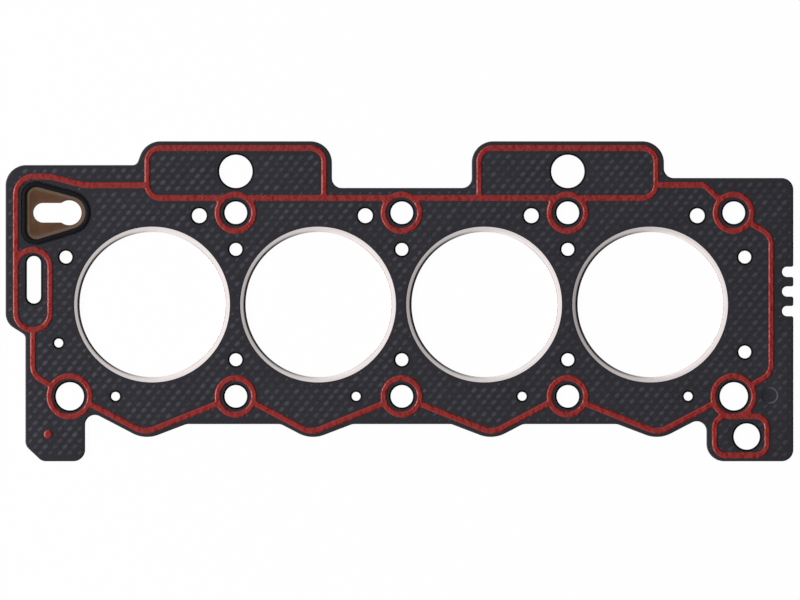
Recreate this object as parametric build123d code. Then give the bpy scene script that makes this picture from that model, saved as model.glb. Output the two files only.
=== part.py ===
from build123d import *
import os

# Cylinder head gasket of the composite kind: a steel core between two graphite facings, folded
# steel fire rings, printed silicone beads and an oil port insert. All sizes are in millimetres.
# +X runs along the row of cylinders, +Y towards the lobed edge, +Z towards the cylinder head.
# The origin is midway between the two middle head bolts, on the plane that the gasket rests on.

# ---- driving dimensions -------------------------------------------------------------------

# engine layout
cylinders = 4
bore_dx = -0.4  # each cylinder, from the middle between its head bolts
web_w = 5.3  # bare facing between two neighbouring fire rings
bolt_row_gap = 9.9  # each row of head bolts, from the side of the cylinder openings

# laminate
core_t = 0.30  # tanged steel sheet
facing_t = 0.55  # each graphite facing

# the punch rolls every cut edge of a facing over a little
roll_w, roll_h = 0.60, 0.13

# fire rings, folded from one sheet round the edge of the laminate
fire_opening_d = 74.2  # clear opening
fire_flange_w = 2.75  # radial width of each flange, fold included
fire_sheet_t = 0.25
fire_fold_r = 0.45  # outer radius of each bend of the fold
fire_seat_depth = 0.05  # how deep each flange is pressed into its facing
fire_seat_gap = 0.15  # radial gap round the flange in its pressed seat

# silicone beads
bead_w = 3.30
bead_h = 0.35
bead_shoulder_w = 0.90  # sloping shoulder on each side of the flat crest
bead_shoulder_h = 0.22
bead_web_r = 0.80  # silicone drawn into each corner where lines meet
dot_d = 4.80
dot_x, dot_y = -11.0, -19.4  # from the end bolt of the lower row

# punched holes
bolt_hole_d = 11.5
dowel_hole_d = 14.4  # the two end holes of the lower row take ring dowels
lobe_hole_d = 17.0
lobe_hole_rise = 21.2  # above the upper bolt row
corner_hole_d = 13.4
corner_hole_x, corner_hole_y = 6.6, -20.6  # from the end bolt of the lower row
transfer_hole_d = 7.5  # coolant holes beside the upper bolts
transfer_hole_dx, transfer_hole_dy = -18.7, -1.5  # from each upper bolt
web_hole_d = 6.5  # coolant holes above and below each web between cylinders
web_hole_y = 28.25
end_hole_y = 24.3  # coolant holes beside the end cylinders
end_hole_right_dx, end_hole_left_dx = 5.6, -2.0  # from the end bolt columns
vent_hole_d = 4.5
vent_hole_dx = 23.4  # from each lower bolt
low_vent_dx, low_vent_y = -5.7, -19.7  # the vent beside cylinder 1
slot_w, slot_len = 7.2, 24.3  # upright coolant slot at the left end
slot_dx, slot_dy = -18.4, -34.3  # from the end bolt of the upper row

# outer edge; heights are margins beyond the two bolt rows, widths beyond the end bolt columns
lobe_half_w = 49.2  # each lobe is centred on the bolt between two cylinders
lobe_margin = 36.6
lobe_slant = 4.7  # the left flank of lobe 1 leans by this much
lobe_slant_in = 0.7  # and its middle stands inside the lobe's half width by this
lobe_corner_r = 11.0
inner_corner_r = 5.0  # every concave corner of the edge
valley_margin = 12.7
left_shoulder_margin = 24.4
left_shoulder_r = 10.5
right_shoulder_margin = 17.8
left_end = 32.9
right_end = 30.45
corner_r = 6.0
step_low, step_high = -15.7, -9.3  # the left edge steps in between these heights
step_low_r, step_high_r = 3.0, 8.5
left_foot_outer, left_foot_inner = 22.75, -7.8
right_foot_inner = -14.0
right_foot_r = 9.0
foot_margin = 33.25
foot_chamfer_x, foot_chamfer_y = 8.45, 8.0
foot_chamfer_r = 5.0
lower_margin = 14.2  # straight stretches between the bays
bay_margin = 22.3  # lowest point of each bay
bay_steep = 38.5  # lowest point to the bolt on its steep side
bay_r = 16.0
bay_shoulder_r = 6.0
steep_slope = 0.521  # rise over run of the steep flanks
shallow_slope = 0.381

# identification notches in the right edge
notch_count = 3
notch_pitch = 10.05
notch_first_y = -3.35
notch_depth = 5.75
notch_h = 5.2
notch_mouth_r = 1.0

# bead network
bolt_bead_gap = 3.6  # bolt hole edge to the middle of its ring
dowel_bead_gap = 3.2
lobe_bead_inset = 3.9  # lobe side to the middle of the bead
lobe_bead_top = 33.1  # above the upper bolt row
lobe_bead_base = 7.55
lobe_bead_r = 7.0
left_line_margin = 14.05  # line from the oil port to lobe 1
port_line_margin = 18.55  # the same line where it passes over the port
port_line_start, port_line_end = -9.9, 7.3  # its slope, from the end bolt
port_line_r = 30.0
left_bead_x = 27.6  # outside the end bolt column
left_bead_r = 9.4
slot_loop_r = 8.8
slot_loop_top, slot_loop_bottom = -19.0, -60.0  # from the upper bolt row
left_turn_y = -36.0  # where the line from the slot turns towards its bolt
right_line_margin = 14.2
right_line_turn = -15.0  # where it turns down towards the end bolt
right_bead_x = 19.25
right_turn_y = 35.3
turn_r = 8.0
bay_bead_margin = 18.7
bay_bead_steep = 1.7  # the steep lines aim this much above the bolt centre
bay_bead_r = 11.0
corner_loop_x = (-9.7, 17.1)  # from the end bolt
corner_loop_y = (-30.2, -10.1)  # from the lower bolt row
corner_loop_r = 6.0

# oil port insert round the end bolt of the upper row
port_back = 24.7  # bolt to the straight side of the window
port_base_high, port_base_low = 18.2, -18.9  # corners of that side, from the bolt row
port_tip = 40.4  # bolt to where the two long sides would meet
port_tip_y = 0.7
port_corner_r = 7.5
port_tip_r = 11.2
port_seal_w = 2.70
port_seal_proud = 0.10  # crest of the rib above the facing
port_lip_w = 0.45  # low lip on each side of the rib
port_lip_drop = 0.25  # lip below the facing
port_rib_r = 0.35
port_fit = 0.05  # seal to facing window
port_tongue = 0.80  # how far the core and the plate each reach into the seal
port_plate_t = 0.50
port_rim_w = 1.60  # rim left high round the coined middle of the plate
port_coin_depth = 0.05
keyhole_d = 12.7
keyhole_dx = -0.4  # the plate stands this far back from the bolt
keyhole_slot_h = 10.0
keyhole_slot_end = 18.7  # bolt to the far end of the slot
keyhole_inner_r = 1.5  # where the slot meets the round part
keyhole_roll_w, keyhole_roll_h = 0.50, 0.15

# ---- derived sizes ------------------------------------------------------------------------

bore_pitch = fire_opening_d + 2 * fire_flange_w + web_w
bolt_row_y = fire_opening_d / 2 + bolt_row_gap

fire_proud = fire_sheet_t - fire_seat_depth
facing_low_z = max(bead_h, fire_proud)  # the lowest piece rests at z = 0
core_z = facing_low_z + facing_t
facing_high_z = core_z + core_t
top_z = facing_high_z + facing_t
mid_z = core_z + core_t / 2

end_x = bore_pitch * cylinders / 2
bore_xs = [bore_pitch * (i - (cylinders - 1) / 2) + bore_dx for i in range(cylinders)]
bolt_xs = [bore_pitch * (i - cylinders / 2) for i in range(cylinders + 1)]
inner_xs = bolt_xs[1:-1]

fire_flange_r = fire_opening_d / 2 + fire_flange_w
laminate_bore_r = fire_opening_d / 2 + fire_fold_r  # clear of the bends of the fold


# ---- shared helpers -----------------------------------------------------------------------


def rounded(corners):
    """Face inside the closed outline of (x, y, radius) corners."""
    line = FilletPolyline(
        *[(x, y) for x, y, _ in corners], radius=[r for *_, r in corners], close=True
    )
    return make_face(line.edges())


def disc(x, y, d):
    return Pos(x, y) * Circle(d / 2)


def plate(face, z, t):
    """Solid of thickness t on the face, from height z up."""
    return extrude(Pos(0, 0, z) * face, amount=t, dir=(0, 0, 1))


# ---- outer edge ---------------------------------------------------------------------------


def bay_corners(low_x, steep_side):
    """One bay of the lower edge, its corners given from right to left."""
    low_y = -bolt_row_y - bay_margin
    flat_y = -bolt_row_y - lower_margin
    drop = flat_y - low_y
    steep = (low_x + steep_side * drop / steep_slope, flat_y, bay_shoulder_r)
    shallow = (low_x - steep_side * drop / shallow_slope, flat_y, bay_shoulder_r)
    low = (low_x, low_y, bay_r)
    return [steep, low, shallow] if steep_side > 0 else [shallow, low, steep]


def notch_corners(y):
    """One identification notch in the right edge, its corners given from the top down."""
    mouth, inner = end_x + right_end, end_x + right_end - notch_depth
    half, inner_r = notch_h / 2, 0.48 * notch_h
    return [
        (mouth, y + half, notch_mouth_r),
        (inner, y + half, inner_r),
        (inner, y - half, inner_r),
        (mouth, y - half, notch_mouth_r),
    ]


def edge_corners():
    """Corners of the outer edge, clockwise from the left shoulder."""
    left, right = -end_x - left_end, end_x + right_end
    lobe_x = bolt_xs[1], bolt_xs[-2]
    shoulder_y = bolt_row_y + left_shoulder_margin
    lobe_y = bolt_row_y + lobe_margin
    valley_y = bolt_row_y + valley_margin
    right_y = bolt_row_y + right_shoulder_margin
    foot_y = -bolt_row_y - foot_margin
    flank_x = lobe_x[0] - lobe_half_w + lobe_slant_in
    corners = [
        (left, shoulder_y, left_shoulder_r),
        (flank_x - lobe_slant / 2, shoulder_y, step_low_r),
        (flank_x + lobe_slant / 2, lobe_y, lobe_corner_r),
        (lobe_x[0] + lobe_half_w, lobe_y, lobe_corner_r),
        (lobe_x[0] + lobe_half_w, valley_y, inner_corner_r),
        (lobe_x[1] - lobe_half_w, valley_y, inner_corner_r),
        (lobe_x[1] - lobe_half_w, lobe_y, lobe_corner_r),
        (lobe_x[1] + lobe_half_w, lobe_y, lobe_corner_r),
        (lobe_x[1] + lobe_half_w, right_y, inner_corner_r),
        (right, right_y, corner_r),
    ]
    for i in reversed(range(notch_count)):
        corners += notch_corners(notch_first_y + i * notch_pitch)
    # the steep flank of each end bay runs on up to the inner side of its foot
    reach = end_x - bay_steep
    low_y = -bolt_row_y - bay_margin
    right_inner, left_inner = end_x + right_foot_inner, -end_x - left_foot_inner
    corners += [
        (right, foot_y, corner_r),
        (right_inner, foot_y, right_foot_r),
        (right_inner, low_y + (right_inner - reach) * steep_slope, inner_corner_r),
    ]
    corners += bay_corners(reach, 1)[1:]
    corners += bay_corners(inner_xs[-1] - bay_steep, 1)
    corners += bay_corners(inner_xs[0] + bay_steep, -1)
    corners += bay_corners(-reach, -1)[:2]
    corners += [
        (left_inner, low_y + (-reach - left_inner) * steep_slope, inner_corner_r),
        (left_inner, foot_y, corner_r),
        (-end_x - left_foot_outer + foot_chamfer_x, foot_y, foot_chamfer_r),
        (-end_x - left_foot_outer, foot_y + foot_chamfer_y, foot_chamfer_r),
        (-end_x - left_foot_outer, step_low, step_low_r),
        (left, step_high, step_high_r),
    ]
    return corners


# ---- holes --------------------------------------------------------------------------------


def punched_holes():
    """Every round hole as (x, y, diameter), and the upright slot."""
    low, high = -bolt_row_y, bolt_row_y
    holes = [(x, y, bolt_hole_d) for x in inner_xs for y in (low, high)]
    holes += [(end_x, high, bolt_hole_d)]
    holes += [(x, low, dowel_hole_d) for x in (-end_x, end_x)]
    holes += [(x, high + lobe_hole_rise, lobe_hole_d) for x in (bolt_xs[1], bolt_xs[-2])]
    holes += [(end_x + corner_hole_x, low + corner_hole_y, corner_hole_d)]
    holes += [
        (x + transfer_hole_dx, high + transfer_hole_dy, transfer_hole_d)
        for x in bolt_xs[1:]
    ]
    holes += [(x, y, web_hole_d) for x in inner_xs for y in (-web_hole_y, web_hole_y)]
    holes += [(end_x + end_hole_right_dx, y, web_hole_d) for y in (-end_hole_y, end_hole_y)]
    holes += [(-end_x + end_hole_left_dx, end_hole_y, web_hole_d)]
    vents = [-end_x + vent_hole_dx] + [x - vent_hole_dx for x in bolt_xs[2:]]
    holes += [(x, low, vent_hole_d) for x in vents]
    holes += [(-end_x + low_vent_dx, low_vent_y, vent_hole_d)]
    faces = [disc(*hole) for hole in holes]
    slot = SlotOverall(slot_len, slot_w, rotation=90)
    faces += [Pos(-end_x + slot_dx, high + slot_dy) * slot]
    return faces


def port_outline(inset):
    """The rounded triangle of the oil port, moved in from the facing window by inset."""
    window = rounded(
        [
            (-end_x - port_back, bolt_row_y + port_base_high, port_corner_r),
            (-end_x + port_tip, bolt_row_y + port_tip_y, port_tip_r),
            (-end_x - port_back, bolt_row_y + port_base_low, port_corner_r),
        ]
    )
    return offset(window, amount=-inset) if inset else window


def laminate_face(window_inset):
    """Plan of one laminate layer, open at the cylinders, the holes and the oil port."""
    face = rounded(edge_corners())
    for hole in punched_holes():
        face -= hole
    for x in bore_xs:
        face -= disc(x, 0, 2 * laminate_bore_r)
    return face - port_outline(window_inset)


# ---- laminate -----------------------------------------------------------------------------


def steel_core():
    """The core, whose tongue round the oil port carries the moulded seal."""
    return plate(laminate_face(port_fit + port_tongue), core_z, core_t)


def facing(z, up):
    """One graphite facing, with the seats that the fire ring flanges press into it."""
    body = plate(laminate_face(0), z, facing_t)
    outward = body.faces().sort_by(Axis.Z)[-1 if up > 0 else 0]
    body = chamfer(outward.edges(), length=roll_h, length2=roll_w)
    seat_z = z + facing_t - fire_seat_depth if up > 0 else z
    for x in bore_xs:
        seat = disc(x, 0, 2 * (fire_flange_r + fire_seat_gap))
        body -= plate(seat, seat_z, fire_seat_depth)
    return body


# ---- fire rings ---------------------------------------------------------------------------


def fire_ring(x):
    """A fire ring: one sheet folded round the bore's edge, turned about the cylinder axis."""
    low, high = facing_low_z - fire_proud, top_z + fire_proud
    inner, outer = fire_opening_d / 2, fire_flange_r
    skin = FilletPolyline(
        (outer, low), (inner, low), (inner, high), (outer, high), radius=fire_fold_r
    )
    t = fire_sheet_t
    lining = FilletPolyline(
        (outer, high - t),
        (inner + t, high - t),
        (inner + t, low + t),
        (outer, low + t),
        radius=fire_fold_r - t,
    )
    ends = [Line((outer, high), (outer, high - t)), Line((outer, low + t), (outer, low))]
    section = make_face(skin.edges() + lining.edges() + ends[0].edges() + ends[1].edges())
    return Pos(x, 0) * revolve(Plane.XZ * section, axis=Axis.Z)


# ---- silicone beads -----------------------------------------------------------------------


def stroke(points, radii):
    """A bead line along the points, its turns rounded by radii."""
    line = FilletPolyline(*points, radius=radii) if radii else Polyline(*points)
    return trace(line, bead_w)


def ring(x, y, middle_r):
    return disc(x, y, 2 * middle_r + bead_w) - disc(x, y, 2 * middle_r - bead_w)


def loop(corners):
    """A closed bead line through (x, y, radius) corners."""
    middle = rounded(corners)
    return offset(middle, amount=bead_w / 2) - offset(middle, amount=-bead_w / 2)


def box_loop(x0, x1, y0, y1, r):
    return loop([(x0, y1, r), (x1, y1, r), (x1, y0, r), (x0, y0, r)])


def bolt_rings():
    """Rings round the head bolt and dowel holes, and the bolt discs they leave open."""
    small, large = bolt_hole_d / 2 + bolt_bead_gap, dowel_hole_d / 2 + dowel_bead_gap
    places = [(x, y, small) for x in inner_xs for y in (-bolt_row_y, bolt_row_y)]
    places += [(end_x, bolt_row_y, small)]
    places += [(x, -bolt_row_y, large) for x in (-end_x, end_x)]
    return places


def lobe_lines():
    """The loops on the lobes and the lines that join them to the ends."""
    base, top = bolt_row_y + lobe_bead_base, bolt_row_y + lobe_bead_top
    half = lobe_half_w - lobe_bead_inset
    left, right = bolt_xs[1] - half, bolt_xs[-2] + half
    left_in, right_in = bolt_xs[1] + half, bolt_xs[-2] - half
    r = lobe_bead_r
    # one line goes up over lobe 1, down, along the valley, and the same over lobe 2
    around = loop(
        [(left, top, r), (left_in, top, r), (left_in, base, 0), (left, base, r)]
    )
    around += loop(
        [(right_in, top, r), (right, top, r), (right, base, r), (right_in, base, 0)]
    )
    return around + stroke([(left_in, base), (right_in, base)], [])


def left_lines():
    """From lobe 1 over the oil port, down the left end, round the slot and to its bolt."""
    lobe_left = bolt_xs[1] - lobe_half_w + lobe_bead_inset
    low_y, high_y = bolt_row_y + left_line_margin, bolt_row_y + port_line_margin
    x = -end_x - left_bead_x
    slot_x = x + slot_loop_r
    slot_top, slot_bottom = bolt_row_y + slot_loop_top, bolt_row_y + slot_loop_bottom
    slot_mid_y = (slot_top + slot_bottom) / 2
    run = stroke(
        [
            (lobe_left, low_y),
            (-end_x + port_line_end, low_y),
            (-end_x + port_line_start, high_y),
            (x, high_y),
            (x, slot_mid_y),
        ],
        [port_line_r, port_line_r, left_bead_r],
    )
    length, width = slot_top - slot_bottom, 2 * slot_loop_r
    slot = SlotOverall(length + bead_w, width + bead_w, rotation=90)
    slot -= SlotOverall(length - bead_w, width - bead_w, rotation=90)
    slot = Pos(slot_x, slot_mid_y) * slot
    tail = stroke(
        [(slot_x, slot_bottom), (slot_x, left_turn_y), (-end_x, -bolt_row_y)], [turn_r]
    )
    return run + slot + tail


def right_lines():
    """From lobe 2 to the end bolt, down the right end and round the corner hole."""
    lobe_right = bolt_xs[-2] + lobe_half_w - lobe_bead_inset
    y = bolt_row_y + right_line_margin
    x = end_x + right_bead_x
    to_bolt = stroke(
        [(lobe_right, y), (end_x + right_line_turn, y), (end_x, bolt_row_y)],
        [inner_corner_r],
    )
    down = stroke(
        [(end_x, bolt_row_y), (x, right_turn_y), (x, -right_turn_y), (end_x, -bolt_row_y)],
        [turn_r, turn_r],
    )
    corner = box_loop(
        end_x + corner_loop_x[0],
        end_x + corner_loop_x[1],
        -bolt_row_y + corner_loop_y[0],
        -bolt_row_y + corner_loop_y[1],
        corner_loop_r,
    )
    return to_bolt + down + corner


def bay_lines():
    """The zigzag between the lower bolts, one low point to each bay."""
    y, low_y = -bolt_row_y, -bolt_row_y - bay_bead_margin
    network = None
    for i, (x0, x1) in enumerate(zip(bolt_xs[:-1], bolt_xs[1:])):
        steep_left = i < cylinders / 2
        low_x = x0 + bay_steep if steep_left else x1 - bay_steep
        lift = (bay_bead_steep, 0) if steep_left else (0, bay_bead_steep)
        line = stroke([(x0, y + lift[0]), (low_x, low_y), (x1, y + lift[1])], [bay_bead_r])
        network = line if network is None else network + line
    return network


def bead_network():
    network = lobe_lines() + left_lines() + right_lines() + bay_lines()
    for x, y, r in bolt_rings():
        network -= disc(x, y, 2 * r)
    for x, y, r in bolt_rings():
        network += ring(x, y, r)
    return offset(offset(network, amount=bead_web_r), amount=-bead_web_r)


def bead(face, base_z, up):
    """Silicone of the bead's section on the face: a straight foot and sloping shoulders."""
    body = extrude(Pos(0, 0, base_z) * face, amount=bead_h, dir=(0, 0, up))
    crest = body.faces().sort_by(Axis.Z)[-1 if up > 0 else 0]
    return chamfer(crest.edges(), length=bead_shoulder_h, length2=bead_shoulder_w)


# ---- oil port insert ----------------------------------------------------------------------


def keyhole():
    """Plan of the keyhole: a bolt hole with an oil slot running out of it."""
    hole = disc(-end_x + keyhole_dx, bolt_row_y, keyhole_d)
    length = keyhole_slot_end + keyhole_d / 4
    slot = SlotOverall(length, keyhole_slot_h)
    hole += Pos(-end_x - keyhole_slot_end + length / 2, bolt_row_y) * slot
    return offset(offset(hole, amount=keyhole_inner_r), amount=-keyhole_inner_r)


def port_plate():
    """The coated plate: a keyhole with rolled edges, and the middle coined below the rim."""
    low, high = mid_z - port_plate_t / 2, mid_z + port_plate_t / 2
    face = port_outline(port_fit + port_seal_w - port_tongue) - keyhole()
    body = plate(face, low, port_plate_t)
    for z in (low, high):
        rolled = body.faces().filter_by_position(Axis.Z, z, z)[0].inner_wires()[0]
        body = chamfer(rolled.edges(), length=keyhole_roll_h, length2=keyhole_roll_w)
    field = port_outline(port_fit + port_seal_w + port_rim_w)
    for z in (low, high - port_coin_depth):
        body -= plate(field, z, port_coin_depth)
    return body


def port_seal():
    """The moulded frame: a rib between two lips, grooved for the core and for the plate."""
    frame = port_outline(port_fit) - port_outline(port_fit + port_seal_w)
    low, high = facing_low_z + port_lip_drop, top_z - port_lip_drop
    body = plate(frame, low, high - low)
    rib = port_outline(port_fit + port_lip_w)
    rib -= port_outline(port_fit + port_seal_w - port_lip_w)
    low, high = facing_low_z - port_seal_proud, top_z + port_seal_proud
    crest = plate(rib, low, high - low)
    rims = crest.edges().filter_by_position(Axis.Z, low, low)
    rims += crest.edges().filter_by_position(Axis.Z, high, high)
    body += fillet(rims, port_rib_r)
    tongue = port_outline(0) - port_outline(port_fit + port_tongue)
    body -= plate(tongue, core_z, core_t)
    inner = port_outline(port_fit + port_seal_w - port_tongue)
    return body - plate(inner, mid_z - port_plate_t / 2, port_plate_t)


# ---- the gasket ---------------------------------------------------------------------------

nodes = {
    "steel_core": steel_core(),
    "graphite_facing_upper": facing(facing_high_z, 1),
    "graphite_facing_lower": facing(facing_low_z, -1),
    "oil_port_plate": port_plate(),
    "oil_port_seal": port_seal(),
}
for number, bore_x in enumerate(bore_xs, start=1):
    nodes[f"fire_ring_{number}"] = fire_ring(bore_x)
network = bead_network()
nodes["silicone_bead_upper"] = bead(network, top_z, 1)
nodes["silicone_bead_lower"] = bead(network, facing_low_z, -1)
dot = disc(-end_x + dot_x, -bolt_row_y + dot_y, dot_d)
nodes["silicone_dot_upper"] = bead(dot, top_z, 1)

os.makedirs("parts", exist_ok=True)
for name, solid in nodes.items():
    export_step(solid, f"parts/{name}.step")
    print(name, round(solid.volume, 1))
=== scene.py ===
import math

import bpy
import numpy as np
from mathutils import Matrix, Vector
from mathutils.geometry import tessellate_polygon


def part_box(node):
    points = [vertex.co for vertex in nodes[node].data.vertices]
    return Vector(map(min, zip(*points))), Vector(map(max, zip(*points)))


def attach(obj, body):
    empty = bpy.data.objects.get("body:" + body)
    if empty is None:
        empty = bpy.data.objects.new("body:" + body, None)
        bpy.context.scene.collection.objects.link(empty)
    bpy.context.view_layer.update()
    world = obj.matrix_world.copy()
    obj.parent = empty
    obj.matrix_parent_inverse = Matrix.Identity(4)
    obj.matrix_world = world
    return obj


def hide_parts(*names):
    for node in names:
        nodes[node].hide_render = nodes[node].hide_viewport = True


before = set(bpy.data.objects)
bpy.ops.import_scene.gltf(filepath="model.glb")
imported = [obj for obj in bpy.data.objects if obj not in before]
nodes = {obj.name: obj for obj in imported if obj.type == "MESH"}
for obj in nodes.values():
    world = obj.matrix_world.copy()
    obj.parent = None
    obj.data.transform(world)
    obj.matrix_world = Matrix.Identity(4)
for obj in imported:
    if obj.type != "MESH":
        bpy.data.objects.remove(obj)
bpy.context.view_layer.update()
mm = 0.001
micron = 1e-6
print("frame loaded:", len(nodes), "pieces")


def linear(hexColour):
    # sRGB hex to linear: (c + 0.055) / 1.055 to the power 2.4, or c / 12.92 near black
    parts = [int(hexColour[i : i + 2], 16) / 255 for i in (1, 3, 5)]
    return [c / 12.92 if c < 0.04045 else ((c + 0.055) / 1.055) ** 2.4 for c in parts] + [1]


def addNode(tree, kind, settings=None, **sockets):
    # settings are the node's own; a socket goes by its name, with _ for a space, or by its
    # place, as i6, and takes a number, a colour or another node's output
    made = tree.nodes.new("ShaderNode" + kind)
    for name, value in (settings or {}).items():
        setattr(made, name, value)
    for name, value in sockets.items():
        inlet = made.inputs[int(name[1:]) if name[1:].isdigit() else name.replace("_", " ")]
        if isinstance(value, bpy.types.NodeSocket):
            tree.links.new(value, inlet)
        else:
            inlet.default_value = value
    return made


def newMaterial(name):
    # an empty tree with its output, and the place on the piece that its patterns read
    material = bpy.data.materials.new(name)
    material.use_nodes = True
    tree = material.node_tree
    tree.nodes.clear()
    output = addNode(tree, "OutputMaterial")
    place = addNode(tree, "TexCoord").outputs["Object"]
    return material, tree, output, place


def twoTone(tree, output, share, values, **sockets):
    # a shader whose colour goes from colour to paleColour as the share goes from 0 to 1
    mix = addNode(
        tree,
        "Mix",
        {"data_type": "RGBA"},
        Factor=share,
        i6=linear(values["colour"]),
        i7=linear(values["paleColour"]),
    )
    shader = addNode(
        tree,
        "BsdfPrincipled",
        Base_Color=mix.outputs[2],
        Roughness=values["roughness"],
        **sockets,
    )
    tree.links.new(shader.outputs[0], output.inputs["Surface"])
    return mix, shader


def meshPiece(name, points, quads, triangles):
    # smooth quads first, then flat triangles
    mesh = bpy.data.meshes.new(name)
    corners = np.concatenate([quads.ravel(), triangles.ravel()]).astype(np.int32)
    starts = np.concatenate(
        [np.arange(len(quads)) * 4, len(quads) * 4 + np.arange(len(triangles)) * 3]
    )
    mesh.vertices.add(len(points))
    mesh.vertices.foreach_set("co", points.astype(np.float32).ravel())
    mesh.loops.add(len(corners))
    mesh.loops.foreach_set("vertex_index", corners)
    mesh.polygons.add(len(starts))
    mesh.polygons.foreach_set("loop_start", starts.astype(np.int32))
    mesh.polygons.foreach_set("use_smooth", np.arange(len(starts)) < len(quads))
    mesh.update(calc_edges=True)
    mesh.validate()
    piece = bpy.data.objects.new(name, mesh)
    bpy.context.scene.collection.objects.link(piece)
    return piece


def loopsAt(nodeName, height):
    # the outlines of a CAD piece's flat face at a height, widest first, as rings of points;
    # corners that fall on one micron are one corner
    mesh = nodes[nodeName].data
    co = np.empty(len(mesh.vertices) * 3, np.float32)
    mesh.vertices.foreach_get("co", co)
    co = co.reshape(-1, 3).astype(float)
    mesh.calc_loop_triangles()
    tri = np.empty(len(mesh.loop_triangles) * 3, np.int32)
    mesh.loop_triangles.foreach_get("vertices", tri)
    tri = tri.reshape(-1, 3)
    tri = tri[np.all(np.abs(co[tri][:, :, 2] - height) < 2 * micron, axis=1)]
    plan, same = np.unique(np.round(co[:, :2] / micron), axis=0, return_inverse=True)
    plan, tri = plan * micron, same.reshape(-1)[tri]
    a, b, c = plan[tri[:, 0]], plan[tri[:, 1]], plan[tri[:, 2]]
    if np.sum((b - a)[:, 0] * (c - a)[:, 1] - (b - a)[:, 1] * (c - a)[:, 0]) < 0:
        tri = tri[:, ::-1]  # seen from above every triangle turns left
    edges = np.concatenate([tri[:, [0, 1]], tri[:, [1, 2]], tri[:, [2, 0]]])
    _, which, times = np.unique(
        np.sort(edges, axis=1), axis=0, return_inverse=True, return_counts=True
    )
    edges = edges[times[which.reshape(-1)] == 1]  # an edge of one triangle is an outline
    first, second = edges[:, 0], edges[:, 1]
    order = np.argsort(first)
    jump = np.searchsorted(first[order], second[order])
    # each corner looks 1, 2, 4 and more places ahead for the first corner of its ring
    lowest, steps = np.arange(len(jump)), np.zeros(len(jump), int)
    for doubling in range(len(jump).bit_length()):
        better = lowest[jump] < lowest
        steps = np.where(better, 2**doubling + steps[jump], steps)
        lowest = np.where(better, lowest[jump], lowest)
        jump = jump[jump]
    corners = plan[first[order]]
    rings = []
    for ring in np.unique(lowest):
        members = np.flatnonzero(lowest == ring)
        around = members[np.argsort(-steps[members] % len(members))]
        rings.append(corners[around])
    return sorted(rings, key=lambda r: -np.ptp(r[:, 0]))


straightCosine = 0.99995  # a side that turns less than this stays one straight piece


def smoothRing(ring, spacing):
    # a Hermite curve through a ring's points: each point's direction is the sum of its two
    # sides times their length squared, so straight runs stay straight and arcs stay round
    side = np.roll(ring, -1, 0) - ring
    length = np.linalg.norm(side, axis=1)
    leaning = side * length[:, None]
    tangent = leaning + np.roll(leaning, 1, 0)
    tangent /= np.linalg.norm(tangent, axis=1)[:, None]
    after = np.roll(tangent, -1, 0)
    unit = side / length[:, None]
    bend = np.minimum(np.sum(tangent * unit, 1), np.sum(after * unit, 1))
    pieces = np.where(bend > straightCosine, 1, np.ceil(length / spacing)).astype(int)
    at = np.repeat(np.arange(len(ring)), pieces)
    t = ((np.arange(len(at)) - (np.cumsum(pieces) - pieces)[at]) / pieces[at])[:, None]
    p0, p1 = ring[at], np.roll(ring, -1, 0)[at]
    m0, m1 = tangent[at] * length[at][:, None], after[at] * length[at][:, None]
    curve = (2 * t**3 - 3 * t**2 + 1) * p0 + (t**3 - 2 * t**2 + t) * m0
    curve += (3 * t**2 - 2 * t**3) * p1 + (t**3 - t**2) * m1
    slope = (6 * t**2 - 6 * t) * (p0 - p1) + (3 * t**2 - 4 * t + 1) * m0
    slope += (3 * t**2 - 2 * t) * m1
    slope /= np.linalg.norm(slope, axis=1)[:, None]
    return curve, np.stack([-slope[:, 1], slope[:, 0]], 1)  # points, and the way inwards


def fill(points, edges, upwards):
    # triangles over the flat area between closed rings of point numbers
    flat = np.concatenate(edges)
    filled = flat[np.array(tessellate_polygon([list(map(Vector, points[e])) for e in edges]))]
    a, b, c = points[filled[:, 0]], points[filled[:, 1]], points[filled[:, 2]]
    wrong = (np.cross(b - a, c - a)[:, 2] > 0) != upwards
    filled[wrong] = filled[wrong][:, ::-1]
    return filled


def stripQuads(index):
    # rows of point numbers, each closed round, joined into quads
    wrapped = np.concatenate([index, index[:, :1]], axis=1)
    return np.stack(
        [wrapped[:-1, :-1], wrapped[:-1, 1:], wrapped[1:, 1:], wrapped[1:, :-1]], -1
    ).reshape(-1, 4)


dentSides = 64


def allFirst(number, row):
    # the finish of a sheet with only one
    return False


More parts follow.
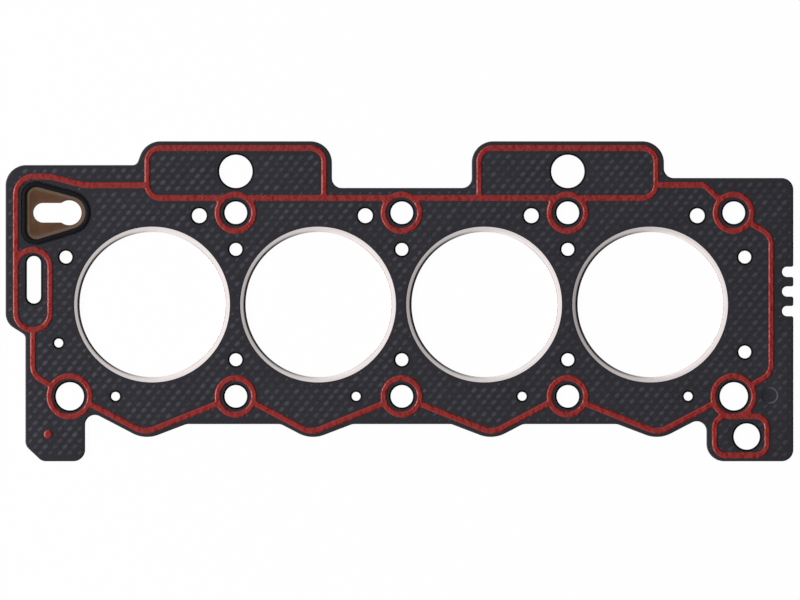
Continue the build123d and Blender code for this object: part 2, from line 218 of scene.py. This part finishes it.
def profiledSheet(name, rings, spacing, sectionOf, isSecond=allFirst, dents=()):
    # each outline carries a section of (inset, height) pairs from the lower lid to the upper
    # one, and both lids are filled between the outlines; isSecond picks the rows of quads
    # with the second finish; a dent is (x, y, section) with (radius, height) pairs, turned
    # about an upright axis: it goes down from the upper lid, and its wall has the third finish
    points, quads, finishes, lower, upper, floors, base = [], [], [], [], [], [], 0
    for number, ring in enumerate(rings):
        curve, inwards = smoothRing(ring, spacing)
        section = np.array(sectionOf(number, ring))
        strip = np.empty((len(section), len(curve), 3))
        strip[:, :, :2] = curve[None] + inwards[None] * section[:, :1, None]
        strip[:, :, 2] = section[:, 1:]
        index = base + np.arange(strip[:, :, 0].size).reshape(strip.shape[:2])
        quads.append(stripQuads(index))
        rows = [isSecond(number, row) for row in range(len(section) - 1)]
        finishes.append(np.repeat(rows, len(curve)))
        points.append(strip.reshape(-1, 3))
        lower.append(index[0])
        upper.append(index[-1])
        base += index.size
    for x, y, section in dents:
        angle = -np.arange(dentSides) * 2 * math.pi / dentSides
        radius, height = np.array(section)[:, :1], np.array(section)[:, 1:]
        strip = np.stack(
            [x + radius * np.cos(angle), y + radius * np.sin(angle), height + 0 * angle], -1
        )
        index = base + np.arange(strip[:, :, 0].size).reshape(strip.shape[:2])
        quads.append(stripQuads(index)[:, ::-1])
        finishes.append(np.full(len(quads[-1]), 2))
        points.append(strip.reshape(-1, 3))
        upper.append(index[0])
        floors.append(index[-1])
        base += index.size
    points, quads = np.concatenate(points), np.concatenate(quads)
    lids = [fill(points, lower, False), fill(points, upper, True)]
    lids += [fill(points, [floorRing], True) for floorRing in floors]
    piece = meshPiece(name, points, quads, np.concatenate(lids))
    finish = np.zeros(len(piece.data.polygons), np.int32)
    finish[: len(quads)] = np.concatenate(finishes)
    piece.data.polygons.foreach_set("material_index", finish)
    return piece


def finishPiece(piece, materials, replaced=()):
    # its materials, the body it rides on and the CAD pieces that it stands for
    for material in materials:
        piece.data.materials.append(material)
    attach(piece, "root")
    if replaced:
        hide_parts(*replaced)


# the levels of the sheets
upperLow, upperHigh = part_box("graphite_facing_upper")
lowerLow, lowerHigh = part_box("graphite_facing_lower")
coreLow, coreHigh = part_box("steel_core")
upperTop, upperFoot = upperHigh.z, upperLow.z
lowerTop, lowerFoot = lowerHigh.z, lowerLow.z

silicone = {
    "colour": "#850a07",
    "paleColour": "#932a25",
    "roughness": 0.3,
    "gloss": 0.56,
    "ior": 1.43,
    "speckSize": 0.9 * mm,
    "speckRange": (0.56, 0.74),  # levels of the noise where the painted glints begin and are full
    "speckShare": 0.55,  # how far full glints go towards the pale colour, a painted highlight
    "ripple": 2.8 * mm,  # from one swell of the print to the next
    "rippleHeight": 0.45 * mm,  # the bump's depth scale, far above the real swell
}
# the foot of the print, darker in colour: painted shade along both edges of each bead
shadedFootSilicone = {**silicone, "colour": "#451614", "paleColour": "#5c2523"}


def siliconeMaterial(name, values):
    # screen-printed red silicone: a slightly glossy skin that swells and sinks a little with
    # the sheet below, with fine pale specks in it that are painted glints
    material, tree, output, place = newMaterial(name)
    noise = addNode(tree, "TexNoise", Vector=place, Scale=1 / values["speckSize"], Detail=2.0)
    paintedGlints = addNode(
        tree,
        "MapRange",
        Value=noise.outputs[0],
        From_Min=values["speckRange"][0],
        From_Max=values["speckRange"][1],
        To_Max=values["speckShare"],
    )
    swell = addNode(tree, "TexNoise", Vector=place, Scale=1 / values["ripple"], Detail=1.0)
    bump = addNode(
        tree, "Bump", Height=swell.outputs[0], Strength=1.0, Distance=values["rippleHeight"]
    )
    twoTone(
        tree,
        output,
        paintedGlints.outputs[0],
        values,
        IOR=values["ior"],
        Specular_IOR_Level=values["gloss"],
        Normal=bump.outputs[0],
    )
    return material


beads = {
    "shoulder": 0.88 * mm,  # width of the rounded shoulder on each side of the crest
    "lean": 1.25,  # above 1 the shoulder starts with a thinner skirt
    "rows": 9,
    "shadedFootRows": 2,  # rows at the foot with the painted shade
    "markHeight": 0.07 * mm,  # of the tangs' marks, which stand up to the print's full height
    "spacing": 0.6 * mm,  # longest step along an outline that bends
}


def beadSection(low, high, values, upwards):
    # height rises with the smooth step 3t^2 - 2t^3, raised to the lean, over the shoulder
    t = np.linspace(0, 1, values["rows"])
    rise = (3 * t**2 - 2 * t**3) ** values["lean"]
    if upwards:
        return np.stack([t * values["shoulder"], low + (high - low) * rise], 1)
    return np.stack([t * values["shoulder"], high - (high - low) * rise], 1)[::-1]


redSilicone = siliconeMaterial("screenPrintedRedSilicone", silicone)
# the darker foot finish, painted shade
redFootPaintedShade = siliconeMaterial("redSiliconeFootPaintedShade", shadedFootSilicone)
for nodeName, upwards in (
    ("silicone_bead_upper", True),
    ("silicone_bead_lower", False),
    ("silicone_dot_upper", True),
):
    low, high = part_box(nodeName)
    foot = low.z if upwards else high.z
    room = beads["markHeight"] if "bead" in nodeName else 0  # for the marks on the crest
    if upwards:
        section = beadSection(low.z, high.z - room, beads, upwards)
    else:
        section = beadSection(low.z + room, high.z, beads, upwards)
    piece = profiledSheet(
        nodeName.replace("silicone_", "printed_"),
        loopsAt(nodeName, foot),
        beads["spacing"],
        lambda number, ring: section,
        lambda number, row: (row if upwards else beads["rows"] - 2 - row) < beads["shadedFootRows"],
    )
    finishPiece(piece, [redSilicone, redFootPaintedShade], [nodeName])
print("beads made")


graphite = {
    "colour": "#18191e",
    "paleColour": "#33323a",
    "roughness": 0.45,
    "gloss": 0.17,
    "mottle": 1.3 * mm,
    "grain": 0.5 * mm,
    "grainHeight": 0.05 * mm,
    "grainStrength": 0.15,
}
# painted shade: walls, pressed seats and the rolls of the punched holes are coloured near
# black for the shade that falls in them
paintedShadeEdge = {**graphite, "colour": "#040406", "paleColour": "#060608", "gloss": 0.06}
# a dent's wall is rubbed smooth by the punch, so it shines
burnished = {
    **graphite,
    "colour": "#28282d",
    "paleColour": "#303035",
    "roughness": 0.24,
    "gloss": 0.7,
}


def graphiteMaterial(name, values):
    # rolled expanded graphite: a soft grey sheen over fine pressed flakes
    material, tree, output, place = newMaterial(name)
    mottle = addNode(
        tree, "TexNoise", Vector=place, Scale=1 / values["mottle"], Detail=3.0, Roughness=0.65
    )
    grain = addNode(tree, "TexNoise", Vector=place, Scale=1 / values["grain"], Detail=2.0)
    bump = addNode(
        tree,
        "Bump",
        Height=grain.outputs[0],
        Strength=values["grainStrength"],
        Distance=values["grainHeight"],
    )
    mix, shader = twoTone(
        tree,
        output,
        mottle.outputs[0],
        values,
        Specular_IOR_Level=values["gloss"],
        Normal=bump.outputs[0],
    )
    return material, tree, place, mix, shader


faceGraphite = graphiteMaterial("rolledGraphite", graphite)[0]
# the near-black edge finish, painted shade
shadedEdgeGraphite = graphiteMaterial("graphiteEdgePaintedShade", paintedShadeEdge)[0]
dentGraphite = graphiteMaterial("burnishedGraphite", burnished)[0]

facings = {
    "rollWidth": 0.9 * mm,
    "portRollWidth": 0.3 * mm,
    "rollTilt": 40,  # degrees from flat where the roll meets the wall
    "rollRows": 6,
    "seatDepth": 0.05 * mm,
    "seatRadius": 40.0 * mm,
    "spacing": 0.7 * mm,
    "sharp": 40,  # degrees between two faces from which their edge is a crease
    "boreWidths": (70 * mm, 80 * mm),
    "portWidths": (20 * mm, 60 * mm),
}


def facingSection(low, high, values, bore, port, upwards):
    # a straight wall, then an arc of radius width / sin(tilt) over to the face; a bore has
    # the pressed seat of the ring's flange, then a shoulder that rises by 2t - t^2
    width = values["portRollWidth"] if port else values["rollWidth"]
    if bore:
        seat = high - values["seatDepth"]
        reach = values["seatRadius"] - bore
        t = np.linspace(0, 1, values["rollRows"])
        shoulder = np.stack([reach + width * t, seat + (high - seat) * (2 * t - t**2)], 1)
        section = np.concatenate([[[0, low], [0, seat]], shoulder])
    else:
        tilt = math.radians(values["rollTilt"])
        angle = np.linspace(tilt, 0, values["rollRows"])
        radius = width / math.sin(tilt)
        roll = [width - radius * np.sin(angle), high - radius * (1 - np.cos(angle))]
        section = np.concatenate([[[0, low]], np.stack(roll, 1)])
    if not upwards:
        section[:, 1] = low + high - section[:, 1]
        section = section[::-1]
    return section


dent = {
    "centre": (188.4 * mm, -46.5 * mm),
    "radius": 3.9 * mm,
    "wall": 0.75 * mm,
    "depth": 0.24 * mm,
    "rows": 6,
}


def dentSection(top, values):
    # a shallow round dent left by a punch: its wall falls by the smooth step 3t^2 - 2t^3
    t = np.linspace(0, 1, values["rows"])
    fall = (3 * t**2 - 2 * t**3) * values["depth"]
    return np.stack([values["radius"] + values["wall"] * (0.5 - t), top - fall], 1)


def boreRadius(ring):
    # half the width of a ring that is as high as it is wide and as wide as a cylinder, or 0
    width, depth = np.ptp(ring, axis=0)
    least, most = facings["boreWidths"]
    return width / 2 if least < width < most and abs(width - depth) < mm else 0


def isPort(ring):
    # only the oil port's window is between a bolt hole and a cylinder in width
    least, most = facings["portWidths"]
    return least < np.ptp(ring[:, 0]) < most


for nodeName, foot, upwards in (
    ("graphite_facing_upper", upperFoot, True),
    ("graphite_facing_lower", lowerTop, False),
):
    low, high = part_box(nodeName)
    rings = loopsAt(nodeName, foot)
    bores = [number for number, ring in enumerate(rings) if boreRadius(ring)]

    def isDark(number, row):
        # every wall and pressed seat gets the painted shade, and so do the rolls of the punched
        # holes
        if number > 0 and number not in bores:
            return True
        return row < 1 + (number in bores) if upwards else row >= facings["rollRows"] - 1

    piece = profiledSheet(
        nodeName.replace("graphite_", ""),
        rings,
        facings["spacing"],
        lambda number, ring: facingSection(
            low.z, high.z, facings, boreRadius(ring), isPort(ring), upwards
        ),
        isDark,
        [(*dent["centre"], dentSection(high.z, dent))] if upwards else (),
    )
    piece.data.set_sharp_from_angle(angle=math.radians(facings["sharp"]))
    finishPiece(piece, [faceGraphite, shadedEdgeGraphite, dentGraphite], [nodeName])
print("facings made")


tangs = {
    "colour": "#4a4950",  # where a mark stands highest: partly the rubbed graphite's tone, partly painted sheen
    "start": (-0.91 * mm, 1.93 * mm),  # one mark, and the steps to its neighbours
    "along": (5.050 * mm, 0.031 * mm),
    "up": (2.519 * mm, 3.085 * mm),
    "steps": (90, 40),  # steps tried each way, along and up, to past the edges
    "halfLength": 2.4 * mm,
    "halfWidth": 1.45 * mm,
    "turn": 40,  # degrees from the row of cylinders
    "height": 0.06 * mm,
    "uneven": (0.4, 1.35),  # the least and the most of that height
    "seed": 5,  # of that unevenness
    "fade": (1.0, 0.65),  # strength of the marks at the left end, and at the right; their paleness follows, a painted fall-off of the lamp's light
    "reach": 2.1 * mm,  # how far a full mark reaches towards an edge
    "seatRoom": 0.45 * mm,  # kept free beside a fire ring's seat
    "beadRoom": -0.5 * mm,  # a mark may run this far in below the print
    "crestRoom": 0.4 * mm,  # a bead's own marks stay this far inside its shoulder
    "smallest": 0.4,  # a mark that an edge crowds is made smaller, down to this share
    "beadSize": 0.4,  # a mark seen through the bead, against one on the facing
    "sides": 10,
    "sunk": 0.01 * mm,  # the rim of a mark below its face
    "sharp": 60,  # degrees, so that only the rim is a crease
}


def clearance(spots, rings):
    # distance to the nearest outline, negative outside: outside has an even count of
    # crossings of a line drawn to the left
    nearest, crossings = np.full(len(spots), np.inf), np.zeros(len(spots), int)
    px, py = spots[:, :1], spots[:, 1:]
    for ring in rings:
        a, b = ring, np.roll(ring, -1, 0)
        side = b - a
        t = ((px - a[:, 0]) * side[:, 0] + (py - a[:, 1]) * side[:, 1]) / np.sum(side**2, 1)
        t = np.clip(t, 0, 1)
        gap = np.hypot(px - a[:, 0] - t * side[:, 0], py - a[:, 1] - t * side[:, 1])
        nearest = np.minimum(nearest, gap.min(1))
        spans = (a[:, 1] > py) != (b[:, 1] > py)
        rise = np.where(side[:, 1] == 0, 1, side[:, 1])  # a level side spans nothing
        crossings += np.sum(spans & (px > a[:, 0] + (py - a[:, 1]) / rise * side[:, 0]), 1)
    return np.where(crossings % 2 == 1, nearest, -nearest)


def domes(name, marks, level, rise, values, upwards):
    # each mark, a row of (x, y, share, size), is a low oval dome: share times rise times
    # (1 - r^2)^2 over its oval, with its rim just below the face, closed underneath
    sides = values["sides"]
    angle = np.arange(sides) * 2 * math.pi / sides
    rim = np.stack([np.cos(angle), np.sin(angle)], 1)
    flat = np.concatenate([[[0, 0]], rim / 2, rim])
    height = marks[:, 2:3] * (1 - np.sum(flat**2, 1)) ** 2 * rise
    height[:, -sides:] = -values["sunk"]
    oval = flat * [values["halfLength"], values["halfWidth"]]
    c, s = math.cos(math.radians(values["turn"])), math.sin(math.radians(values["turn"]))
    oval = np.stack([oval[:, 0] * c - oval[:, 1] * s, oval[:, 0] * s + oval[:, 1] * c], 1)
    points = np.empty((len(marks), len(flat), 3))
    points[:, :, :2] = marks[:, None, :2] + oval[None] * marks[:, 3:, None]
    points[:, :, 2] = level + (height if upwards else -height)
    i = np.arange(sides)
    j = (i + 1) % sides
    crown = np.stack([0 * i, 1 + i, 1 + j], 1)
    base = np.stack([0 * i[1:-1] + 1 + sides, 1 + sides + j[1:-1], 1 + sides + i[1:-1]], 1)
    skirt = np.stack([1 + i, 1 + sides + i, 1 + sides + j, 1 + j], 1)
    first = (np.arange(len(marks)) * len(flat))[:, None, None]
    triangles = (np.concatenate([crown, base])[None] + first).reshape(-1, 3)
    quads = (skirt[None] + first).reshape(-1, 4)
    if not upwards:
        triangles, quads = triangles[:, ::-1], quads[:, ::-1]
    piece = meshPiece(name, points.reshape(-1, 3), quads, triangles)
    piece.data.polygons.foreach_set("use_smooth", np.ones(len(piece.data.polygons), bool))
    piece.data.set_sharp_from_angle(angle=math.radians(values["sharp"]))
    return piece


def markMaterial(values, level):
    # graphite over the tangs, paler the higher a point stands off its face, which is level
    # above the middle of the sheet, or as far below it: partly the rubbed graphite's own
    # tone, partly a painted sheen on each mark's crown
    material, tree, place, faceMix, shader = graphiteMaterial("graphiteOverTangsToneAndSheen", graphite)
    height = addNode(tree, "SeparateXYZ", Vector=place).outputs["Z"]
    middle = (upperTop + lowerFoot) / 2
    off = addNode(tree, "Math", {"operation": "SUBTRACT"}, i0=height, i1=middle)
    off = addNode(tree, "Math", {"operation": "ABSOLUTE"}, i0=off.outputs[0])
    share = addNode(
        tree,
        "MapRange",
        Value=off.outputs[0],
        From_Min=level - middle,
        From_Max=level - middle + values["height"],
    )
    mix = addNode(
        tree,
        "Mix",
        {"data_type": "RGBA"},
        Factor=share.outputs[0],
        i6=faceMix.outputs[2],
        i7=linear(values["colour"]),
    )
    tree.links.new(mix.outputs[2], shader.inputs["Base Color"])
    return material


markToneAndSheen = markMaterial(tangs, upperTop)
stepsAlong, stepsUp = (np.arange(-most, most + 1) for most in tangs["steps"])
steps = np.stack(np.meshgrid(stepsAlong, stepsUp), -1).reshape(-1, 2)
spots = tangs["start"] + steps[:, :1] * tangs["along"] + steps[:, 1:] * tangs["up"]
spots = spots[np.all((spots > list(upperLow)[:2]) & (spots < list(upperHigh)[:2]), axis=1)]
shares = np.random.default_rng(tangs["seed"]).uniform(*tangs["uneven"], len(spots))
# marks fade towards the right, and their paleness with them: painted fall-off of the lamp's
# light
shares *= np.interp(spots[:, 0], [upperLow.x, upperHigh.x], tangs["fade"])
fromDent = np.linalg.norm(spots - dent["centre"], axis=1) - dent["radius"] - dent["wall"] / 2
for side, foot, face, upwards in (
    ("upper", upperFoot, upperTop, True),
    ("lower", lowerTop, lowerFoot, False),
):
    rings = loopsAt(f"graphite_facing_{side}", foot)
    nearBead = clearance(spots, loopsAt(f"silicone_bead_{side}", face))
    bores = [ring for ring in rings if boreRadius(ring)]
    seatWidth = facings["seatRadius"] - boreRadius(bores[0])
    nearSeat = np.abs(clearance(spots, bores)) - seatWidth
    room = clearance(spots, rings) - facings["rollWidth"]
    room = np.minimum(room, nearSeat - tangs["seatRoom"])
    room = np.minimum(room, -nearBead - tangs["beadRoom"])
    if side == "upper":
        low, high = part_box("silicone_dot_upper")
        middle = (low + high) / 2
        fromDot = np.hypot(spots[:, 0] - middle.x, spots[:, 1] - middle.y)
        room = np.minimum(room, fromDot - (high.x - low.x) / 2)
        room = np.minimum(room, fromDent)
    sizes = np.minimum(room / tangs["reach"], 1)
    marks = np.column_stack([spots, shares, sizes])
    onFace = marks[(sizes > tangs["smallest"]) & (nearBead < 0)]
    piece = domes(f"tang_marks_{side}", onFace, face, tangs["height"], tangs, upwards)
    finishPiece(piece, [markToneAndSheen])
    onBead = marks[nearBead > beads["shoulder"] + tangs["crestRoom"]]
    onBead[:, 3] = tangs["beadSize"]
    low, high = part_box(f"silicone_bead_{side}")
    rise = beads["markHeight"] / tangs["uneven"][1]
    crest = high.z - beads["markHeight"] if upwards else low.z + beads["markHeight"]
    piece = domes(f"bead_marks_{side}", onBead, crest, rise, tangs, upwards)
    finishPiece(piece, [redSilicone])
    print("tang marks", side, len(onFace), len(onBead))


fireRing = {
    "colour": "#d8d0cf",
    "paleColour": "#e3dbda",
    "roughness": 0.18,
    "mottle": 3 * mm,
    "bore": 37.1 * mm,  # radius of the opening
    "crown": 0.08 * mm,  # fall of the flange from its outer edge to the roll
    "rollWidth": 1.42 * mm,
    "rollTilt": 24,  # degrees from flat where the roll meets the hem
    "hem": 0.12 * mm,  # radius of the tight bend from the roll to the wall
    "sheet": 0.25 * mm,
    # the sheet's other side, in shares of its thickness across and down: where the roll
    # starts, then at the wall
    "lining": ((0.3, 1), (1, 0.6)),
    "around": 288,
    "rollRows": 12,
    "hemRows": 6,
    "sharp": 35,  # degrees
}


def stainlessMaterial(values):
    # thin stainless sheet, turned and pressed: soft reflections, faintly cloudy
    material, tree, output, place = newMaterial("pressedStainlessSheet")
    noise = addNode(tree, "TexNoise", Vector=place, Scale=1 / values["mottle"], Detail=2.0)
    twoTone(tree, output, noise.outputs[0], values, Metallic=1.0)
    return material


def ringSection(radius, flange, low, high, values):
    # half the fold, mirrored: the flange falls by its crown, a wide arc bends it on to the
    # roll's tilt, a tight arc turns it down to the wall, then the sheet's other side back
    sheet, crown, width = values["sheet"], values["crown"], values["rollWidth"]
    start = math.atan(crown / (flange - radius - width))
    tilt, hem = math.radians(values["rollTilt"]), values["hem"]
    reach = hem * (1 - math.sin(tilt))
    bend = (width - reach) / (math.sin(tilt) - math.sin(start))
    angle = np.linspace(start, tilt, values["rollRows"])
    x = radius + reach + bend * (math.sin(tilt) - np.sin(angle))
    z = high - crown - bend * (math.cos(start) - np.cos(angle))
    turn = np.linspace(tilt, math.pi / 2, values["hemRows"])[1:]
    x = np.append(x, radius + hem * (1 - np.sin(turn)))
    z = np.append(z, z[-1] - hem * (math.cos(tilt) - np.cos(turn)))
    roll = np.stack([x, z], 1)
    lining = roll + np.array([sheet, -sheet]) * np.linspace(*values["lining"], len(roll))
    upper = np.concatenate([[[flange, high - sheet], [flange, high]], roll])
    middle = (low + high) / 2
    lower = np.stack([upper[::-1, 0], 2 * middle - upper[::-1, 1]], 1)
    inside = np.stack([lining[::-1, 0], 2 * middle - lining[::-1, 1]], 1)[::-1]
    return np.concatenate([upper, lower, inside, lining[::-1]])


def turned(name, section, x, y, around):
    # (r, z) pairs turned about an upright axis: x + r cos a, y + r sin a, z
    angle = np.arange(around) * 2 * math.pi / around
    r, z = section[:, 0], section[:, 1]
    points = np.stack(
        [
            x + r[:, None] * np.cos(angle),
            y + r[:, None] * np.sin(angle),
            z[:, None] + 0 * angle,
        ],
        -1,
    )
    index = np.arange(len(r) * around).reshape(len(r), around)
    quads = stripQuads(np.concatenate([index, index[:1]]))[:, ::-1]
    return meshPiece(name, points.reshape(-1, 3), quads, np.zeros((0, 3), int))


stainless = stainlessMaterial(fireRing)
for number in range(1, 5):
    nodeName = f"fire_ring_{number}"
    low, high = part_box(nodeName)
    centre = (low + high) / 2
    flange = (high.x - low.x) / 2
    section = ringSection(fireRing["bore"], flange, low.z, high.z, fireRing)
    piece = turned(f"folded_ring_{number}", section, centre.x, centre.y, fireRing["around"])
    piece.data.set_sharp_from_angle(angle=math.radians(fireRing["sharp"]))
    finishPiece(piece, [stainless], [nodeName])
print("fire rings made")


# moulded rubber: near black, with a broad dull sheen along the rib
rubber = {
    "colour": "#07070b",
    "paleColour": "#0f0f14",
    "roughness": 0.42,
    "gloss": 0.12,
    "mottle": 1.2 * mm,
}
seal = {
    "spacing": 0.5 * mm,
    "lip": 0.45 * mm,  # width of the low lip on each side of the rib
    "lipDrop": 0.35 * mm,  # lip below the crest of the rib
    "rise": 0.4 * mm,  # width of the rib's side
    "groove": 0.8 * mm,
    "rows": 7,
    "sharp": 40,  # degrees
}
# baked brown coat on steel sheet: cloudy, and paler on the raised rim round the port
coat = {
    "colour": "#412e1d",
    "paleColour": "#6b4832",
    "roughness": 0.45,
    "gloss": 0.25,
    "mottle": 4.0 * mm,
}
paleRimCoat = {
    "colour": "#4c3c2c",
    "paleColour": "#72594c",
    "roughness": 0.4,
    "gloss": 0.3,
    "mottle": 6.0 * mm,
}
plate = {
    "spacing": 0.4 * mm,
    "rim": 2.1 * mm,  # outer edge to the coined middle
    "coin": 0.05 * mm,  # the middle below the rim
    "coinSlope": 0.15 * mm,
    "rollWidth": 0.5 * mm,
    "rollHeight": 0.15 * mm,
    "rows": 5,
    "sharp": 40,  # degrees
}
coreSteel = {
    "colour": "#7e7e81",
    "paleColour": "#98989a",
    "roughness": 0.4,
    "streak": (6.0 * mm, 0.4 * mm, 0.4 * mm),  # its length, width and depth
}


def plainMaterial(name, values):
    # one finish whose tone wanders a little from place to place
    material, tree, output, place = newMaterial(name)
    noise = addNode(tree, "TexNoise", Vector=place, Scale=1 / values["mottle"], Detail=3.0)
    twoTone(tree, output, noise.outputs[0], values, Specular_IOR_Level=values["gloss"])
    return material


def coreMaterial(values):
    # cold-rolled sheet, seen only as a thin line at the cut edges: grey, faintly streaked
    # along the rolling
    material, tree, output, place = newMaterial("coldRolledSteel")
    scales = tuple(1 / size for size in values["streak"])
    along = addNode(tree, "VectorMath", {"operation": "MULTIPLY"}, i0=place, i1=scales)
    noise = addNode(tree, "TexNoise", Vector=along.outputs[0], Scale=1.0, Detail=2.0)
    twoTone(tree, output, noise.outputs[0], values, Metallic=1.0)
    return material


def sealSection(low, high, groove, values):
    # one side of the rib: from the lower crest a quarter ellipse out to the lip, then the
    # groove, and the same mirrored up to the upper crest
    angle = np.linspace(0, math.pi / 2, values["rows"])
    lip, drop, rise = values["lip"], values["lipDrop"], values["rise"]
    climb = np.stack(
        [lip + rise * (1 - np.cos(angle)), high - drop + drop * np.sin(angle)], 1
    )
    upper = np.concatenate([[[0, high - drop], [lip, high - drop]], climb[1:]])
    lower = np.stack([upper[::-1, 0], low + high - upper[::-1, 1]], 1)
    deep = values["groove"]
    cut = [[0, groove[0]], [deep, groove[0]], [deep, groove[1]], [0, groove[1]]]
    return np.concatenate([lower, cut, upper])


def plateEdge(low, high, values):
    # the edge in the seal, the high rim and the slope down to the coined middle, both faces
    rim, coin, slope = values["rim"], values["coin"], values["coinSlope"]
    upper = [[0, high], [rim, high], [rim + slope, high - coin]]
    lower = [[x, low + high - z] for x, z in upper[::-1]]
    return np.array(lower + upper)


def plateHole(low, high, values):
    # the keyhole's wall between two rolled edges, from the coined faces
    angle = np.linspace(0, math.pi / 2, values["rows"])
    width, drop = values["rollWidth"], values["rollHeight"]
    top = high - values["coin"]
    fall = drop - values["coin"]
    back = width * fall / drop
    upper = np.stack([-back * np.cos(angle), top - fall * (1 - np.sin(angle))], 1)
    lower = np.stack([upper[::-1, 0], low + high - upper[::-1, 1]], 1)
    return np.concatenate([lower, upper])


low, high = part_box("oil_port_seal")
plateLow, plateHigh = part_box("oil_port_plate")
grooves = [(coreLow.z, coreHigh.z), (plateLow.z, plateHigh.z)]
piece = profiledSheet(
    "moulded_port_seal",
    loopsAt("oil_port_seal", low.z + seal["lipDrop"])[::3],  # its outer and inner edges
    seal["spacing"],
    lambda number, ring: sealSection(low.z, high.z, grooves[number], seal),
)
piece.data.set_sharp_from_angle(angle=math.radians(seal["sharp"]))
blackRubber = plainMaterial("mouldedBlackRubber", rubber)
finishPiece(piece, [blackRubber], ["oil_port_seal"])

outer = loopsAt("oil_port_plate", plateLow.z)[0]
hole = loopsAt("oil_port_plate", plateLow.z + plate["coin"])[1]
sections = [
    plateEdge(plateLow.z, plateHigh.z, plate),
    plateHole(plateLow.z, plateHigh.z, plate),
]
piece = profiledSheet(
    "coated_port_plate",
    [outer, hole],
    plate["spacing"],
    lambda number, ring: sections[number],
    lambda number, row: number == 0,
)
piece.data.set_sharp_from_angle(angle=math.radians(plate["sharp"]))
finishes = [
    plainMaterial("brownCoatedSteel", coat),
    plainMaterial("paleRimBrownCoat", paleRimCoat),
]
finishPiece(piece, finishes, ["oil_port_plate"])

core = nodes["steel_core"]
core.data.materials.clear()
core.data.materials.append(coreMaterial(coreSteel))
print("oil port made")


studio = {
    "lampPlace": (-4.0, 0.18, 2.5),
    "lampAim": (-0.02, 0, 0),
    "lampSize": (6.0, 1.6),  # across the row of cylinders, and up
    "lampPower": 277,
    "skyLevel": 0.33,
    "cardLeft": 1.32,  # what glossy surfaces see to the left, and to the right
    "cardRight": 0.01,
    "cardSpan": (-0.2, 0.38),  # x of the direction where the one goes over to the other
    "cardEnd": 0.72,  # share of the left level that remains at its far end
    "cardEndSpan": (-0.58, -0.16),
    "floorColour": "#f4f4f4",
    "floorSize": 40,
    "shadowShare": 0.03,  # how much of its own shading the floor shows
}


def floorMaterial(values):
    # white card: plain white to the camera and in reflections, with part of its own shading
    material, tree, output = newMaterial("whiteCard")[:3]
    rays = addNode(tree, "LightPath")
    seen = addNode(
        tree,
        "Math",
        {"operation": "MAXIMUM"},
        i0=rays.outputs["Is Camera Ray"],
        i1=rays.outputs["Is Glossy Ray"],
    )
    seen = addNode(
        tree,
        "Math",
        {"operation": "MAXIMUM"},
        i0=seen.outputs[0],
        i1=rays.outputs["Is Transmission Ray"],
    )
    share = addNode(
        tree,
        "Math",
        {"operation": "MULTIPLY"},
        i0=seen.outputs[0],
        i1=1 - values["shadowShare"],
    )
    card = addNode(tree, "BsdfDiffuse", Color=linear(values["floorColour"]))
    glow = addNode(tree, "Emission", Color=(1, 1, 1, 1), Strength=1.0)
    mix = addNode(tree, "MixShader", i0=share.outputs[0], i1=card.outputs[0], i2=glow.outputs[0])
    tree.links.new(mix.outputs[0], output.inputs["Surface"])
    return material


half = studio["floorSize"] / 2
floor = meshPiece(
    "floor",
    np.array([[-half, -half, 0], [half, -half, 0], [half, half, 0], [-half, half, 0]], float),
    np.array([[0, 1, 2, 3]]),
    np.zeros((0, 3), int),
)
floor.data.materials.append(floorMaterial(studio))

scene = bpy.context.scene
world = bpy.data.worlds.new("studio")
scene.world = world
world.use_nodes = True
sky = world.node_tree
sky.nodes.clear()
direction = addNode(sky, "TexCoord").outputs["Generated"]
across = addNode(sky, "SeparateXYZ", Vector=direction).outputs["X"]
cards = addNode(
    sky,
    "MapRange",
    {"interpolation_type": "SMOOTHSTEP"},
    Value=across,
    From_Min=studio["cardSpan"][0],
    From_Max=studio["cardSpan"][1],
    To_Min=studio["cardLeft"],
    To_Max=studio["cardRight"],
).outputs[0]
ending = addNode(
    sky,
    "MapRange",
    {"interpolation_type": "SMOOTHSTEP"},
    Value=across,
    From_Min=studio["cardEndSpan"][0],
    From_Max=studio["cardEndSpan"][1],
    To_Min=studio["cardEnd"],
    To_Max=1.0,
).outputs[0]
cards = addNode(sky, "Math", {"operation": "MULTIPLY"}, i0=cards, i1=ending).outputs[0]
rays = addNode(sky, "LightPath")
glossy = addNode(
    sky,
    "Math",
    {"operation": "MAXIMUM"},
    i0=rays.outputs["Is Glossy Ray"],
    i1=rays.outputs["Is Transmission Ray"],
).outputs[0]
level = addNode(
    sky, "Mix", {"data_type": "FLOAT"}, i0=glossy, i2=studio["skyLevel"], i3=cards
).outputs[0]
seen = addNode(
    sky, "Mix", {"data_type": "FLOAT"}, i0=rays.outputs["Is Camera Ray"], i2=level, i3=1.0
)
level = seen.outputs[0]
light = addNode(sky, "Background", Color=(1, 1, 1, 1), Strength=level)
sky.links.new(light.outputs[0], addNode(sky, "OutputWorld").inputs["Surface"])

lampData = bpy.data.lights.new("leftLamp", "AREA")
lampData.shape = "RECTANGLE"
lampData.size, lampData.size_y = studio["lampSize"]
lampData.energy = studio["lampPower"]
lamp = bpy.data.objects.new("leftLamp", lampData)
lamp.location = studio["lampPlace"]
aim = Vector(studio["lampAim"]) - lamp.location
lamp.rotation_euler = aim.to_track_quat("-Z", "Y").to_euler()
scene.collection.objects.link(lamp)

camera = {
    "lens": 300,
    "sensor": 36,
    "width": 0.4096,  # what it takes in from side to side at the upper face
    "centre": (-0.00095, 0.00233),  # it looks straight down here
}
cameraData = bpy.data.cameras.new("camera")
cameraData.lens = camera["lens"]
cameraData.sensor_width = camera["sensor"]
distance = camera["width"] * camera["lens"] / camera["sensor"]
cameraObject = bpy.data.objects.new("camera", cameraData)
cameraObject.location = (*camera["centre"], upperTop + distance)
scene.collection.objects.link(cameraObject)
scene.camera = cameraObject
scene.view_settings.view_transform = "Standard"
print("studio made")
